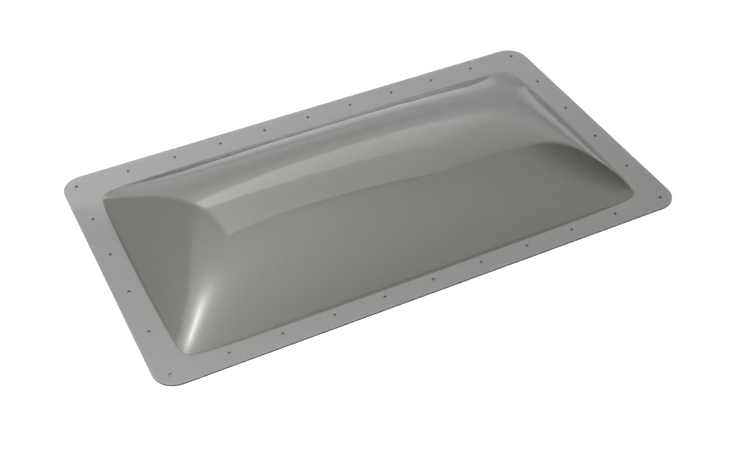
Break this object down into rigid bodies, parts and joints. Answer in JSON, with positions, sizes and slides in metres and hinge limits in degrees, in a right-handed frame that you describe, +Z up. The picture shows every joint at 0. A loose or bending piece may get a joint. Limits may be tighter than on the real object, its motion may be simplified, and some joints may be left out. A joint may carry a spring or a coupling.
{
  "type": "skylight dome",
  "caption": "Long shallow see-through bubble of smoke tinted plastic with a flat drilled flange, for a caravan or camper roof.",
  "frame": {"origin": "on the flat underside of the flange, in the middle of its outline", "axes": "+X along the length, +Y across, +Z up out of the roof; the bubble stands 9 mm nearer the -Y side"},
  "size_m": [0.9524, 0.5462, 0.0889],
  "materials": {
    "smoke_polycarbonate": "clear smoke grey tint, polished on both faces"
  },
  "bodies": {
    "root": {"skylight_dome": "smoke_polycarbonate"}
  },
  "joints": []
}
